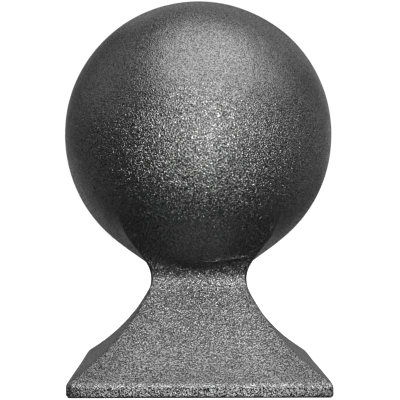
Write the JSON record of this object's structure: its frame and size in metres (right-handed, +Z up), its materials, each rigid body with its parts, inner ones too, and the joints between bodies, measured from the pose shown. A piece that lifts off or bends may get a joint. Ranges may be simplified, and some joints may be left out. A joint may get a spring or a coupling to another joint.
{
  "type": "ball finial",
  "caption": "Solid cast-iron ball finial: a ball on a narrow square neck that sweeps out to a thin square foot, for the top of a gate or fence post.",
  "frame": {"origin": "middle of the foot's flat underside, where the finial sits on its post", "axes": "+Z up through the ball's centre, X and Y square to the foot's sides"},
  "size_m": [0.066, 0.066, 0.093],
  "materials": {
    "cast_iron": "dark grey cast iron as blasted, with a fine grain and a dull sheen"
  },
  "bodies": {
    "root": {"ball_finial": "cast_iron"}
  },
  "joints": []
}
